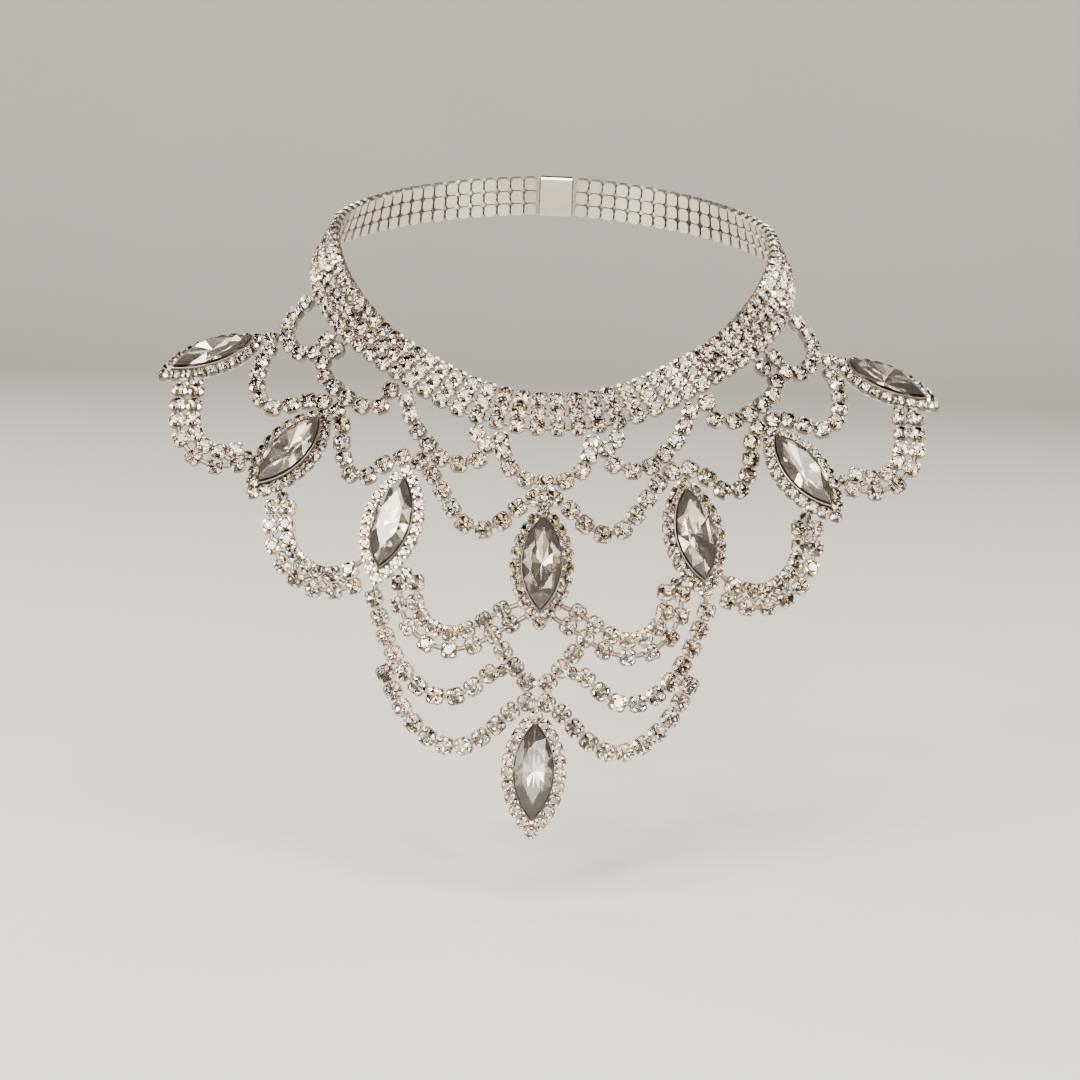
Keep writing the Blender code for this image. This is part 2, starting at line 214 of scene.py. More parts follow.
def matt_paper():
    mat, tree = new_material("matt white paper")
    place = add(tree, "ShaderNodeTexCoord")
    mottle = add(tree, "ShaderNodeTexNoise", {
        "Vector": place.outputs["Object"], "Scale": patches_per_metre})
    tone = add(tree, "ShaderNodeValToRGB", {"Fac": mottle.outputs["Fac"]})
    tone.color_ramp.elements[0].color = linear("#C8C6C2")
    tone.color_ramp.elements[1].color = linear("#CECCC8")
    shader = add(tree, "ShaderNodeBsdfPrincipled", {
        "Base Color": tone.outputs["Color"], "Roughness": 0.85})
    add(tree, "ShaderNodeOutputMaterial", {"Surface": shader.outputs["BSDF"]})
    return mat


def bowl_profile():
    # The radius and the height of each ring, from the middle outwards
    profile = [(radius, 0.0) for radius in flat_radii]
    for angle in range(10, 91, 10):
        turn = radians(angle)
        profile.append((flat_radii[-1] + bend_radius * sin(turn), bend_radius - bend_radius * cos(turn)))
    profile.append((flat_radii[-1] + bend_radius, rim_height))
    return profile


def add_floor():
    bm = bmesh.new()
    turns = [2 * pi * k / floor_sides for k in range(floor_sides)]
    rings = []
    for radius, z in bowl_profile():
        rings.append([bm.verts.new((radius * cos(t), radius * sin(t), floor_height + z)) for t in turns])
    bm.faces.new(rings[0])
    for a, b in zip(rings, rings[1:]):
        for k in range(floor_sides):
            after = (k + 1) % floor_sides
            bm.faces.new((a[k], a[after], b[after], b[k])).smooth = True
    mesh = bpy.data.meshes.new("floor")
    bm.to_mesh(mesh)
    bm.free()
    mesh.materials.append(matt_paper())
    floor = bpy.data.objects.new("floor", mesh)
    bpy.context.scene.collection.objects.link(floor)


add_floor()


# %% [markdown]
# Cut stones only sparkle when bright and dark things stand in front of them, so the light is
# fifteen soft boxes of different sizes, most of them round the camera, in a dim room. The last
# one is turned away from the necklace and lights the wall behind it.

# %% Light
light_color = "#FFF6EA"
necklace_middle = (0.0, -0.05, -0.03)
room_color = "#B4B0AB"
room_strength = 0.16
# name, place, width and height, watts, and where it is aimed if that isn't the necklace
SOFTBOXES = [
    ("key", (-0.50, -0.80, 0.55), (0.30, 0.30), 15.0),
    ("fill", (0.80, -0.60, 0.20), (0.25, 0.60), 8.0),
    ("top", (0.05, -0.30, 0.95), (0.70, 0.40), 13.0),
    ("left panel", (-0.95, -0.35, 0.15), (0.35, 0.70), 7.0),
    ("front panel", (0.0, -1.50, 0.35), (1.20, 0.70), 7.0),
    ("low panel", (-0.20, -0.95, -0.05), (0.60, 0.10), 2.4),
    ("spark 1", (-0.28, -0.95, 0.20), (0.10, 0.10), 2.4),
    ("spark 2", (0.22, -0.90, 0.12), (0.10, 0.10), 2.4),
    ("spark 3", (-0.75, -0.70, 0.05), (0.12, 0.12), 3.0),
    ("spark 4", (0.55, -0.85, 0.50), (0.12, 0.12), 3.0),
    ("spark 5", (-0.10, -0.75, 0.75), (0.12, 0.12), 3.0),
    ("spark 6", (0.75, -0.75, -0.02), (0.10, 0.10), 2.0),
    ("back left", (-0.80, 0.60, 0.60), (0.40, 0.60), 5.0),
    ("back right", (0.85, 0.55, 0.50), (0.40, 0.60), 5.0),
    ("wall wash", (0.0, 0.60, 1.60), (2.20, 0.30), 26.0, (0.0, 2.0, 0.25)),
]


def add_softbox(name, place, size, watts, aim=necklace_middle):
    data = bpy.data.lights.new(name, "AREA")
    data.shape = "RECTANGLE"
    data.size, data.size_y = size
    data.energy = watts
    data.color = linear(light_color)[:3]
    light = bpy.data.objects.new(name, data)
    bpy.context.scene.collection.objects.link(light)
    ahead = Vector(aim) - Vector(place)
    light.matrix_world = Matrix.Translation(place) @ ahead.to_track_quat("-Z", "Y").to_matrix().to_4x4()


for softbox in SOFTBOXES:
    add_softbox(*softbox)
world = bpy.data.worlds.new("room")
world.use_nodes = True
background = world.node_tree.nodes["Background"]
background.inputs["Color"].default_value = linear(room_color)
background.inputs["Strength"].default_value = room_strength
bpy.context.scene.world = world
print("soft boxes:", len(SOFTBOXES))


# %% [markdown]
# ## Where the cups sit
# Each stone of the chains has a square table in the CAD mesh. It comes as two triangles with
# equal short sides, so the middle of their long side is the middle of the stone, the short
# sides give the cup's directions, and the face's normal is the way that the cup looks out. A seat
# counts once, when both of its triangles are found. A square on the side of a link is left out,
# since it looks away from where the rest of the row is facing.

# %% Seats of the chains
chain_table = 1.7 * MM
chain_top = 2.5 * MM
table_tolerance = 0.04 * MM
twin_reach = 0.1 * MM
# the cosines of the widest angles allowed: between a table's halves, and from where a row faces
flat_enough = 0.999
facing_enough = 0.5
chain_kinds = ("scallop", "swag", "double", "side", "lower", "v_arm")
chain_nodes = sorted(name for name in nodes if name.startswith(chain_kinds))


def chain_seats(node):
    # Each seat is a place, the way that it looks out and the way along its chain
    mesh = nodes[node].data
    halves = []
    for face in mesh.polygons:
        corners = [mesh.vertices[i].co for i in face.vertices]
        sides = sorted(((corners[i] - corners[i - 1]).length, i) for i in range(3))
        legs = abs(sides[0][0] - chain_table) + abs(sides[1][0] - chain_table)
        if legs > table_tolerance or abs(sides[2][0] - chain_table * sqrt(2)) > table_tolerance:
            continue
        i = sides[2][1]
        middle = (corners[i] + corners[i - 1]) / 2
        along = (corners[i] - corners[i - 2]).normalized()
        halves.append((middle, face.normal.copy(), along))
    seats = []
    for k, (middle, out, along) in enumerate(halves):
        for twin, twin_out, _ in halves[k + 1:]:
            if (twin - middle).length < twin_reach and out.dot(twin_out) > flat_enough:
                seats.append((middle - out * chain_top, out, along))
    facing = sum((out for _, out, _ in seats), Vector()).normalized()
    return [seat for seat in seats if seat[1].dot(facing) > facing_enough]


chains = {node: chain_seats(node) for node in chain_nodes}
print("chain stones:", sum(len(seats) for seats in chains.values()))


# %% [markdown]
# Neighbouring cups are joined by a short bar. Two cups of one chain are neighbours when they are
# under 5.35 mm apart. That takes in the cups before and after in the same row, but not the next
# one but one. In a double row it also takes in each cup of the other row that is as near, straight
# across or diagonally. A bar ends inside the cup's wall, 1.4 mm from its middle, where the stone's
# foil hides it.

# %% Pairs of linked cups
link_reach = 5.35 * MM
link_height = 0.8 * MM
link_stop = 1.4 * MM


def linked(seats):
    pairs = []
    for i, a in enumerate(seats):
        for b in seats[i + 1:]:
            if (a[0] - b[0]).length < link_reach:
                pairs.append((a, b))
    return pairs


def bar(a, b):
    # The two ends of the bar between two seats
    start = a[0] + a[1] * link_height
    end = b[0] + b[1] * link_height
    share = link_stop / (end - start).length
    return start.lerp(end, share), end.lerp(start, share)


# %% [markdown]
# ## The stone and the cup
# A round rhinestone, or chaton, is cut as a small brilliant: an eight-sided table, eight star
# facets, eight kites and sixteen small ones down to the girdle, and a foiled pavilion of sixteen
# facets below. It is built once in mesh code, ring by ring, and its foiled faces are marked so
# that they can get the foil's material.

# %% One chaton
stone_radius = 1.68 * MM
stone_table = 0.92 * MM
star_radius = 1.36 * MM
girdle_height = 1.58 * MM
star_height = 2.08 * MM
table_height = 2.42 * MM
culet_height = 0.42 * MM


def circle(bm, count, radius, height, start=0.0):
    turns = [start + 2 * pi * k / count for k in range(count)]
    return [bm.verts.new((radius * cos(t), radius * sin(t), height)) for t in turns]


def save_mesh(name, bm, marked=None):
    bmesh.ops.recalc_face_normals(bm, faces=bm.faces)
    if marked is not None:
        bm.faces.index_update()
        numbers = {face.index for face in marked}
        layer = bm.faces.layers.int.new("foiled")
        for face in bm.faces:
            face[layer] = int(face.index in numbers)
    mesh = bpy.data.meshes.new(name)
    bm.to_mesh(mesh)
    bm.free()
    obj = bpy.data.objects.new(name, mesh)
    bpy.context.scene.collection.objects.link(obj)
    return obj


def chaton():
    bm = bmesh.new()
    table = circle(bm, 8, stone_table, table_height)
    star = circle(bm, 8, star_radius, star_height, pi / 8)
    girdle = circle(bm, 16, stone_radius, girdle_height)
    culet = bm.verts.new((0.0, 0.0, culet_height))
    bm.faces.new(table)
    for k in range(8):
        after = (k + 1) % 8
        g = [girdle[(2 * k + i) % 16] for i in range(3)]
        bm.faces.new((table[k], star[k], table[after]))
        bm.faces.new((table[k], star[k - 1], g[0], star[k]))
        bm.faces.new((star[k], g[0], g[1]))
        bm.faces.new((star[k], g[1], g[2]))
    pavilion = [bm.faces.new((girdle[k], culet, girdle[(k + 1) % 16])) for k in range(16)]
    return save_mesh("chaton", bm, pavilion)


# %% [markdown]
# The cup is stamped from sheet: a square tray with its corners cut, whose four corners stand up
# as prongs and are pressed in over the stone. The tray is one closed shell and each prong is a
# bent wedge that grows out of a corner.

# %% One cup
cup_half = 1.80 * MM
cup_floor_half = 1.55 * MM
cup_rim = 1.30 * MM
cup_shoulder = 0.6 * cup_rim
bed_half = 0.5 * cup_floor_half
bed_height = 0.25 * MM
sheet_thickness = 0.16 * MM
# a prong's levels: distance out from the cup's middle, height, half width, thickness
PRONG_LEVELS = [
    (1.96 * MM, 0.55 * MM, 0.55 * MM, 0.24 * MM),
    (2.00 * MM, 1.60 * MM, 0.48 * MM, 0.26 * MM),
    (1.48 * MM, 2.20 * MM, 0.30 * MM, 0.20 * MM),
]


def tray_ring(bm, half, height, cut=0.58):
    # A square with cut corners; cut is the share of the half width that is left straight
    points = []
    for k in range(4):
        turn = Matrix.Rotation(k * pi / 2, 3, "Z")
        for y in (-cut, cut):
            points.append(bm.verts.new(turn @ Vector((half, half * y, height))))
    return points


def skin(bm, lower, upper):
    for k in range(len(lower)):
        after = (k + 1) % len(lower)
        bm.faces.new((lower[k], lower[after], upper[after], upper[k]))


def cup():
    bm = bmesh.new()
    rings = [
        tray_ring(bm, cup_floor_half, 0.0),
        tray_ring(bm, cup_half, cup_shoulder),
        tray_ring(bm, cup_half, cup_rim),
        tray_ring(bm, cup_half - sheet_thickness, cup_rim),
        tray_ring(bm, bed_half, bed_height),
    ]
    for a, b in zip(rings, rings[1:]):
        skin(bm, a, b)
    # The walls are marked to get the darker plate: painted shade that draws a dark line round each stone
    walls = list(bm.faces)
    bm.faces.new(rings[0])
    bm.faces.new(rings[-1])
    for k in range(4):
        turn = Matrix.Rotation(pi / 4 + k * pi / 2, 3, "Z")
        prong = []
        for out, height, half, thick in PRONG_LEVELS:
            box = [(out, -half), (out, half), (out - thick, half), (out - thick, -half)]
            prong.append([bm.verts.new(turn @ Vector((x, y, height))) for x, y in box])
        for a, b in zip(prong, prong[1:]):
            skin(bm, a, b)
        bm.faces.new(prong[0])
        bm.faces.new(prong[-1])
    return save_mesh("cup", bm, walls)


chaton_unit = chaton()
cup_unit = cup()
print("faces of a chaton and a cup:", len(chaton_unit.data.polygons), len(cup_unit.data.polygons))


# %% [markdown]
# ## Setting the units on their seats
# The seats become the points of a mesh that carry two directions, out and along, and a size.
# Geometry Nodes put a copy of the unit on every point, turned to its seat. A stone is also spun
# by a random angle in its cup, since nothing on the real one lines its facets up, and so each
# catches the light differently. The copies are made real and get their materials at the end.

# %% The tree that sets units on seats
def node_tree(name, sockets):
    tree = bpy.data.node_groups.new(name, "GeometryNodeTree")
    tree.interface.new_socket("Geometry", in_out="INPUT", socket_type="NodeSocketGeometry")
    for label, kind, value in sockets:
        socket = tree.interface.new_socket(label, in_out="INPUT", socket_type=kind)
        if value is not None:
            socket.default_value = value
    tree.interface.new_socket("Geometry", in_out="OUTPUT", socket_type="NodeSocketGeometry")
    return tree


def setting_tree():
    tree = node_tree("set units on seats", [
        ("Unit", "NodeSocketObject", None),
        ("Spin", "NodeSocketFloat", 0.0),
        ("Seed", "NodeSocketInt", 7),
        ("Material", "NodeSocketMaterial", None),
        ("Foil and painted shade", "NodeSocketMaterial", None),
    ])
    given = add(tree, "NodeGroupInput").outputs
    out = add(tree, "GeometryNodeInputNamedAttribute", {"Name": "out"}, data_type="FLOAT_VECTOR")
    along = add(tree, "GeometryNodeInputNamedAttribute", {"Name": "along"}, data_type="FLOAT_VECTOR")
    size = add(tree, "GeometryNodeInputNamedAttribute", {"Name": "size"}, data_type="FLOAT")
    seated = add(tree, "FunctionNodeAxesToRotation", {
        "Primary Axis": out.outputs["Attribute"], "Secondary Axis": along.outputs["Attribute"]},
        primary_axis="Z", secondary_axis="X")
    spin = add(tree, "FunctionNodeRandomValue", {
        2: 0.0, 3: given["Spin"], "Seed": given["Seed"]}, data_type="FLOAT")
    about = add(tree, "ShaderNodeCombineXYZ", {"Z": spin.outputs[1]})
    spun = add(tree, "FunctionNodeEulerToRotation", {0: about.outputs[0]})
    turned = add(tree, "FunctionNodeRotateRotation", {
        "Rotation": seated.outputs[0], "Rotate By": spun.outputs[0]}, rotation_space="LOCAL")
    unit = add(tree, "GeometryNodeObjectInfo", {"Object": given["Unit"]})
    placed = add(tree, "GeometryNodeInstanceOnPoints", {
        "Points": given["Geometry"], "Instance": unit.outputs["Geometry"],
        "Rotation": turned.outputs[0], "Scale": size.outputs["Attribute"]})
    tint = add(tree, "FunctionNodeRandomValue", {2: 0.0, 3: 1.0, "Seed": 3}, data_type="FLOAT")
    marked = add(tree, "GeometryNodeStoreNamedAttribute", {
        "Geometry": placed.outputs["Instances"], "Name": "tint", "Value": tint.outputs[1]},
        data_type="FLOAT", domain="INSTANCE")
    real = add(tree, "GeometryNodeRealizeInstances", {"Geometry": marked.outputs[0]})
    # A random shade for each face, which the foil reads as painted light and shade
    shade = add(tree, "FunctionNodeRandomValue", {2: 0.0, 3: 1.0, "Seed": 5}, data_type="FLOAT")
    shaded = add(tree, "GeometryNodeStoreNamedAttribute", {
        "Geometry": real.outputs[0], "Name": "facet", "Value": shade.outputs[1]},
        data_type="FLOAT", domain="FACE")
    dressed = add(tree, "GeometryNodeSetMaterial", {
        "Geometry": shaded.outputs[0], "Material": given["Material"]})
    # The marked faces get the second material: the foil on a stone, the darker plate of painted shade on
    # a cup's walls
    foiled = add(tree, "GeometryNodeInputNamedAttribute", {"Name": "foiled"}, data_type="INT")
    backed = add(tree, "GeometryNodeSetMaterial", {
        "Geometry": dressed.outputs[0], "Selection": foiled.outputs["Attribute"],
        "Material": given["Foil and painted shade"]})
    add(tree, "NodeGroupOutput", {"Geometry": backed.outputs[0]})
    return tree


def run_tree(name, mesh, tree, values):
    # The object with the tree's result as its plain mesh; values are the inputs by name
    source = bpy.data.objects.new(name + " source", mesh)
    bpy.context.scene.collection.objects.link(source)
    modifier = source.modifiers.new("nodes", "NODES")
    modifier.node_group = tree
    ids = {item.name: item.identifier for item in tree.interface.items_tree if item.in_out == "INPUT"}
    for label, value in values.items():
        modifier[ids[label]] = value
    graph = bpy.context.evaluated_depsgraph_get()
    result = bpy.data.meshes.new_from_object(source.evaluated_get(graph), depsgraph=graph)
    bpy.data.objects.remove(source)
    obj = bpy.data.objects.new(name, result)
    result.name = name
    bpy.context.scene.collection.objects.link(obj)
    print(name, len(result.polygons), "faces")
    return obj


set_units = setting_tree()


def seat_mesh(seats, size):
    mesh = bpy.data.meshes.new("seats")
    mesh.from_pydata([place for place, _, _ in seats], [], [])
    for label, column in (("out", 1), ("along", 2)):
        values = mesh.attributes.new(label, "FLOAT_VECTOR", "POINT").data
        values.foreach_set("vector", [c for seat in seats for c in seat[column]])
    sizes = mesh.attributes.new("size", "FLOAT", "POINT").data
    sizes.foreach_set("value", [size] * len(seats))
    return mesh


def set_stones(name, seats, size, *replaced):
    stones = run_tree(name + "_stones", seat_mesh(seats, size), set_units, {
        "Unit": chaton_unit, "Spin": 2 * pi, "Seed": 11, "Material": crystal, "Foil and painted shade": foil})
    # The cups' walls get the darker plate, which is painted shade
    cups = run_tree(name + "_cups", seat_mesh(seats, size), set_units, {
        "Unit": cup_unit, "Spin": 0.0, "Seed": 0, "Material": plate, "Foil and painted shade": painted_shade_plate})
    wear(stones, "crystal")
    wear(cups, "cup_chain", *replaced)


# %% [markdown]
# ## The links
# The bars between the cups are drawn as edges and turned into round wire, 1.1 mm thick, that
# runs 0.8 mm above the chain's back. They lie deep between the cups and get the darker plate of
# the walls, painted shade.

# %% The tree that turns edges into wire
link_radius = 0.55 * MM
link_sides = 6


def wire_tree():
    tree = node_tree("wire along edges", [
        ("Radius", "NodeSocketFloat", link_radius),
        ("Sides", "NodeSocketInt", link_sides),
        ("Material", "NodeSocketMaterial", None),
    ])
    given = add(tree, "NodeGroupInput").outputs
    curves = add(tree, "GeometryNodeMeshToCurve", {"Mesh": given["Geometry"]})
    ring = add(tree, "GeometryNodeCurvePrimitiveCircle", {
        "Resolution": given["Sides"], "Radius": given["Radius"]})
    wire = add(tree, "GeometryNodeCurveToMesh", {
        "Curve": curves.outputs[0], "Profile Curve": ring.outputs[0], "Fill Caps": True})
    real = add(tree, "GeometryNodeRealizeInstances", {"Geometry": wire.outputs[0]})
    dressed = add(tree, "GeometryNodeSetMaterial", {
        "Geometry": real.outputs[0], "Material": given["Material"]})
    add(tree, "NodeGroupOutput", {"Geometry": dressed.outputs[0]})
    return tree


wire_along = wire_tree()


def run_wire(name, bars):
    mesh = bpy.data.meshes.new("edges")
    points = [end for ends in bars for end in ends]
    mesh.from_pydata(points, [(i, i + 1) for i in range(0, len(points), 2)], [])
    # The wire gets the darker plate: painted shade between the cups
    wires = run_tree(name, mesh, wire_along, {
        "Radius": link_radius, "Sides": link_sides, "Material": painted_shade_plate})
    return wear(wires, "silver_plate")


# %% [markdown]
# Now the chains are dressed. The double rows leave less room from cup to cup than the single
# chains do, so the single chains carry the slightly larger stones.

# %% Dress the chains
single_size = 1.06
double_size = 1.0
single = [name for name in chain_nodes if not name.startswith("double")]
paired = [name for name in chain_nodes if name.startswith("double")]
run_wire("chain_links", [bar(a, b) for seats in chains.values() for a, b in linked(seats)])
set_stones("single_chain", [seat for name in single for seat in chains[name]], single_size, *single)
set_stones("double_chain", [seat for name in paired for seat in chains[name]], double_size, *paired)


# %% [markdown]
# ## The collar
# Three rows of cups sit side by side in columns, which fan out on the wider lower edge. The band
# lies on the same curve as the CAD collar, so its form is repeated here: the loop's half axes, and
# its rise and lean at a few angles round the neck.

# %% The collar's form
neck_half_width = 51.2 * MM
neck_half_depth = 52.0 * MM
collar_rise = 50.0 * MM
collar_width = 10.2 * MM
# columns: angle from the front in degrees, share of the rise, lean from upright in degrees
COLLAR_FORM = [
    (0, 0.000, 31),
    (15, 0.034, 34),
    (30, 0.132, 47),
    (45, 0.256, 53),
    (60, 0.424, 44),
    (75, 0.590, 32),
    (90, 0.710, 28),
    (115, 0.830, 22),
    (145, 0.940, 17),
    (180, 1.000, 14),
]


def collar_form(angle, column):
    # A smooth curve through the table, level at both ends
    angle = abs(angle)
    if angle > 180.0:
        angle = 360.0 - angle
    places = [row[0] for row in COLLAR_FORM]
    values = [row[column] for row in COLLAR_FORM]
    last = len(places) - 1

    def slope(k):
        if k in (0, last):
            return 0.0
        before = places[k] - places[k - 1]
        after = places[k + 1] - places[k]
        rise = (values[k] - values[k - 1]) / before * after + (values[k + 1] - values[k]) / after * before
        return rise / (before + after)

    k = min(max(np.searchsorted(places, angle) - 1, 0), last - 1)
    step = places[k + 1] - places[k]
    s = (angle - places[k]) / step
    start = values[k] * (2 * s**3 - 3 * s**2 + 1) + slope(k) * step * (s**3 - 2 * s**2 + s)
    return start + values[k + 1] * (3 * s**2 - 2 * s**3) + slope(k + 1) * step * (s**3 - s**2)


def collar_top(angle):
    turn = radians(angle)
    rise = collar_rise * collar_form(angle, 1)
    return Vector((neck_half_width * sin(turn), -neck_half_depth * cos(turn), rise))


def collar_frame(angle):
    # Along the band, across it towards its lower edge, and out from its face
    along = (collar_top(angle + 1.0) - collar_top(angle - 1.0)).normalized()
    turn = radians(angle)
    outward = Vector((neck_half_depth * sin(turn), -neck_half_width * cos(turn), 0.0)).normalized()
    down = outward.cross(along).normalized()
    if down.z > 0:
        down = -down
    lean = radians(collar_form(angle, 2))
    across = down * cos(lean) + outward * sin(lean)
    face = along.cross(across).normalized()
    if face.dot(outward) < 0:
        face = -face
    return along, across, face


# %% [markdown]
# The columns stand one cup's pitch apart along the top edge, counted from clasp to clasp. Each cup
# is linked to its neighbours in the column and in the row.

# %% The collar's cups
collar_pitch = 3.63 * MM
collar_rows = 3
collar_size = 1.0
row_width = collar_width / collar_rows
clasp_half = 5.1 * MM
fine_steps = 720


def even_angles():
    # Angles whose places on the top edge are one pitch apart, from clasp to clasp
    end = 180.0 - clasp_half / neck_half_depth * 180.0 / pi
    fine = [-end + 2 * end * k / fine_steps for k in range(fine_steps + 1)]
    tops = [collar_top(a) for a in fine]
    run = np.cumsum([0.0] + [(b - a).length for a, b in zip(tops, tops[1:])])
    columns = int(run[-1] / collar_pitch)
    wanted = (np.arange(columns) + 0.5) * run[-1] / columns
    return [float(a) for a in np.interp(wanted, run, fine)]


def collar_cups():
    # The seats, and the pairs of them that are linked
    seats = []
    pairs = []
    last_column = []
    for angle in even_angles():
        along, across, face = collar_frame(angle)
        top = collar_top(angle)
        column = [(top + across * row_width * (k + 0.5), face, along) for k in range(collar_rows)]
        seats += column
        pairs += list(zip(column, column[1:])) + list(zip(last_column, column))
        last_column = column
    return seats, pairs


collar_seats, collar_pairs = collar_cups()
run_wire("collar_links", [bar(a, b) for a, b in collar_pairs])
set_stones("collar", collar_seats, collar_size, "collar")


# %% [markdown]
# ## The navettes
# A navette's frame is read off its CAD stone: the middle of its points, its longest direction and
# its thinnest one. The setting is a flat back with a rail of small cups round the stone and a
# thin bezel inside them, and the stone's long foiled facets meet in one point under its table.

# %% A navette's frame
navette_names = sorted(n[len("navette_stone_"):] for n in nodes if n.startswith("navette_stone_"))
stone_bottom = 1.3 * MM


def navette_frame(name):
    mesh = nodes["navette_stone_" + name].data
    points = np.array([v.co for v in mesh.vertices])
    unique = np.unique(points.round(6), axis=0)
    middle = unique.mean(axis=0)
    spread = np.linalg.svd(unique - middle)[2]
    up = Vector(spread[0])
    out = Vector(spread[2])
    if up.z < 0:
        up = -up
    if out.y > 0:
        out = -out
    across = up.cross(out).normalized()
    lowest = min((Vector(p) - Vector(middle)).dot(out) for p in unique)
    base = Vector(middle) + out * (lowest - stone_bottom)
    ends = [(Vector(p) - base).dot(up) for p in unique]
    sides = [(Vector(p) - base).dot(across) for p in unique]
    base += up * (max(ends) + min(ends)) / 2 + across * (max(sides) + min(sides)) / 2
    return base, across, up, out


frames = {name: navette_frame(name) for name in navette_names}


def pointed_oval(half_length, half_width, steps, top=None):
    # Two arcs that meet in a point at each end, from the lower point round; top cuts the upper one off
    radius = (half_length**2 + half_width**2) / (2 * half_width)
    low = -asin(half_length / radius)
    high = -low if top is None else asin(top / radius)
    right = [low + (high - low) * k / steps for k in range(steps + 1)]
    right = [(radius * cos(t) - (radius - half_width), radius * sin(t)) for t in right]
    last = len(right) if top is not None else len(right) - 1
    return right + [(-x, y) for x, y in right[1:last]][::-1]


def navette_ring(bm, name, outline, height):
    # An outline's points at a height over the back of the setting
    base, across, up, out = frames[name]
    return [bm.verts.new(base + across * x + up * y + out * height) for x, y in outline]


# %% [markdown]
# A halo is one row of small stones that follows the navette's outline, pointed at its foot and a
# little shorter at its head. There are twenty of them round each navette.

# %% The halos
halo_foot = 12.7 * MM
halo_head = 11.5 * MM
halo_half_width = 5.5 * MM
halo_size = 0.74
halo_lift = 0.5 * MM
halo_slots = 20
halo_steps = 120
look_ahead = 0.3 * MM


def halo_seats(name):
    base, across, up, out = frames[name]
    outline = pointed_oval(halo_foot, halo_half_width, halo_steps)
    outline = [(x, y * halo_head / halo_foot if y > 0 else y) for x, y in outline]
    points = [Vector((x, y)) for x, y in outline] + [Vector(outline[0])]
    run = np.cumsum([0.0] + [(b - a).length for a, b in zip(points, points[1:])])
    seats = []
    for k in range(halo_slots):
        wanted = run[-1] * k / halo_slots
        x = float(np.interp(wanted, run, [p.x for p in points]))
        y = float(np.interp(wanted, run, [p.y for p in points]))
        ahead = float(np.interp(wanted + look_ahead, run, [p.x for p in points])) - x
        rise = float(np.interp(wanted + look_ahead, run, [p.y for p in points])) - y
        along = (across * ahead + up * rise).normalized()
        seats.append((base + across * x + up * y + out * halo_lift, out, along))
    return seats


halo = [seat for name in navette_names for seat in halo_seats(name)]
set_stones("halo", halo, halo_size)


# %% [markdown]
# Where a chain ends, its last cup is soldered to its neighbour by a short bar. A cup is taken as
# an end when it has fewer than two links, or fewer than three in a double row. Its bar runs to
# the nearest cup of another piece, if there is one within 6.6 mm and no cup stands in the way. In
# the photograph such a joint is packed with small stones, so where the two cups are over 4.9 mm
# apart the bar carries one at its middle.

# %% Solder bars
solder_reach = 6.6 * MM
filler_reach = 4.9 * MM
filler_size = 0.70
bar_clearance = 1.9 * MM
bar_end_share = 0.1


def chain_ends(node):
    seats = chains[node]
    usual = 3 if node.startswith("double") else 2
    pairs = linked(seats)
    return [seat for seat in seats if sum(seat in pair for pair in pairs) < usual]


def crossed(start, end):
    # Whether a cup stands in the way of a bar
    for place, _, _ in [seat for seats in chains.values() for seat in seats]:
        share = (place - start).dot(end - start) / (end - start).length_squared
        beside = bar_end_share < share < 1 - bar_end_share
        if beside and (start.lerp(end, share) - place).length < bar_clearance:
            return True
    return False


def solder_joints():
    # The ends of each bar, and the seats of the small stones
    others = [(seat, "") for seat in halo + collar_seats]
    others += [(seat, node) for node in chain_nodes for seat in chains[node]]
    bars = []
    fillers = []
    for node in chain_nodes:
        for end in chain_ends(node):
            near = min((s for s, owner in others if owner != node), key=lambda s: (s[0] - end[0]).length)
            reach = (near[0] - end[0]).length
            if reach > solder_reach or crossed(end[0], near[0]):
                continue
            bars.append(bar(end, near))
            if reach > filler_reach:
                fillers.append(((end[0] + near[0]) / 2, (end[1] + near[1]).normalized(), end[2]))
    return bars, fillers


bars, fillers = solder_joints()
print("solder bars and small stones on them:", len(bars), len(fillers))
run_wire("solder_bars", bars)
set_stones("joint", fillers, filler_size)


# %% [markdown]
# A setting is one closed shell: a flat back, whose top is cut off where the chains meet, and a
# thin bezel that rises from it and closes in over the stone's edge. The bezel gets the darker
# plate of the cups' walls, painted shade.

# %% The settings
def paint(obj, material, marked_material):
    # The second material goes on the marked faces
    obj.data.materials.append(material)
    obj.data.materials.append(marked_material)
    layer = obj.data.attributes["foiled"].data
    for face in obj.data.polygons:
        face.material_index = layer[face.index].value


# the rings of a setting in millimetres: half length, half width, where its top is cut off, height
SETTING_RINGS = [
    (13.2, 6.10, 10.6, 0.00),
    (13.2, 6.10, 10.6, 0.35),
    (10.5, 4.35, 10.1, 0.35),
    (10.5, 4.40, 10.1, 2.30),
    (10.3, 4.25, 9.9, 2.40),
    (10.1, 4.10, 9.7, 2.20),
    (8.0, 2.80, 7.6, 0.45),
]
setting_steps = 16


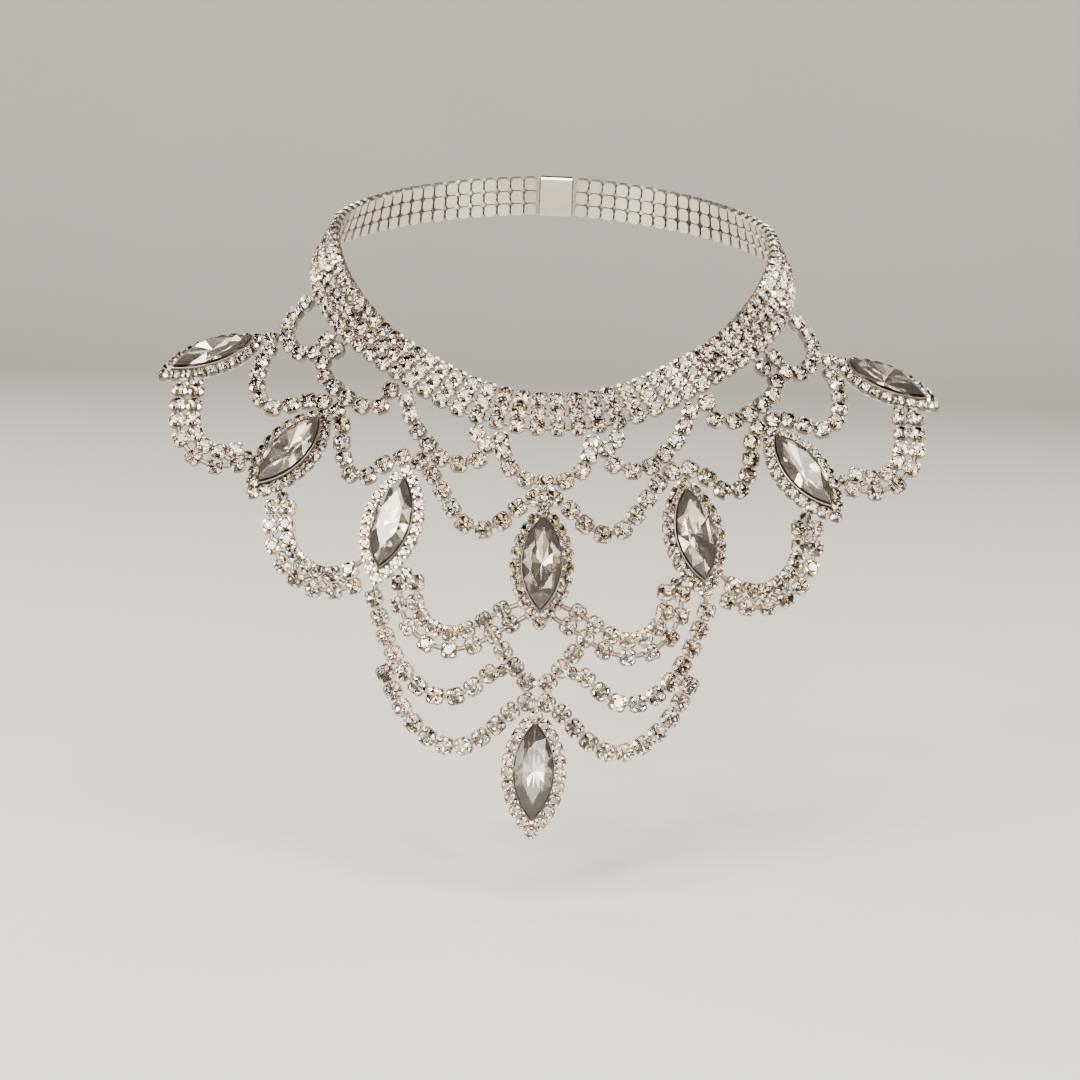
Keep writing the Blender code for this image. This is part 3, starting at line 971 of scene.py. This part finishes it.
def settings():
    bm = bmesh.new()
    bezels = []
    for name in navette_names:
        rings = []
        for length, width, top, height in SETTING_RINGS:
            outline = pointed_oval(length * MM, width * MM, setting_steps, top * MM)
            rings.append(navette_ring(bm, name, outline, height * MM))
        skin(bm, rings[0], rings[1])
        skin(bm, rings[1], rings[2])
        bm.faces.new(rings[0])
        flat = set(bm.faces)
        for a, b in zip(rings[2:], rings[3:]):
            skin(bm, a, b)
        bm.faces.new(rings[-1])
        bezels += [face for face in bm.faces if face not in flat]
    obj = save_mesh("navette_settings", bm, bezels)
    # The flat back gets the plate, and the bezel gets the darker plate of painted shade
    paint(obj, plate, painted_shade_plate)
    return wear(obj, "silver_plate", *["navette_setting_" + name for name in navette_names])


settings()


# %% [markdown]
# The navettes' stones are cut with long facets: eighteen on the crown, between the table and the
# girdle, and twelve foiled ones below, which meet in the culet. One random shade for each facet is
# painted light and shade on the foil, standing for reflections of bright and dark surroundings.

# %% The navette stones
navette_girdle = (10.0 * MM, 4.1 * MM)
navette_table = (6.4 * MM, 2.5 * MM)
navette_girdle_height = 3.0 * MM
navette_table_height = 4.4 * MM
navette_culet_height = 0.6 * MM
navette_tint = 0.75


def navette_stones():
    bm = bmesh.new()
    foiled = []
    for name in navette_names:
        girdle = navette_ring(bm, name, pointed_oval(*navette_girdle, 6), navette_girdle_height)
        table = navette_ring(bm, name, pointed_oval(*navette_table, 3), navette_table_height)
        culet = navette_ring(bm, name, [(0.0, 0.0)], navette_culet_height)[0]
        bm.faces.new(table)
        for k in range(len(table)):
            after = (k + 1) % len(table)
            a, b, c = girdle[2 * k], girdle[2 * k + 1], girdle[(2 * k + 2) % len(girdle)]
            bm.faces.new((a, b, table[k]))
            bm.faces.new((b, table[after], table[k]))
            bm.faces.new((b, c, table[after]))
        for k in range(len(girdle)):
            foiled.append(bm.faces.new((girdle[k], culet, girdle[(k + 1) % len(girdle)])))
    obj = save_mesh("navette_stones", bm, foiled)
    paint(obj, navette_crystal, navette_foil)
    # A random shade for each facet, painted light and shade on the foil
    rng = np.random.default_rng(4)
    count = len(obj.data.polygons)
    for label, values in (("facet", rng.random(count)), ("tint", np.full(count, navette_tint))):
        obj.data.attributes.new(label, "FLOAT", "FACE").data.foreach_set("value", values)
    return wear(obj, "crystal", *["navette_stone_" + name for name in navette_names])


navette_stones()


# %% [markdown]
# ## The clasp and the end
# The clasp keeps its CAD shape and only gets the plated finish. The units are taken away.

# %% Finish
clasp = nodes["clasp"]
clasp.data.materials.clear()
clasp.data.materials.append(plate)
bpy.data.objects.remove(chaton_unit)
bpy.data.objects.remove(cup_unit)
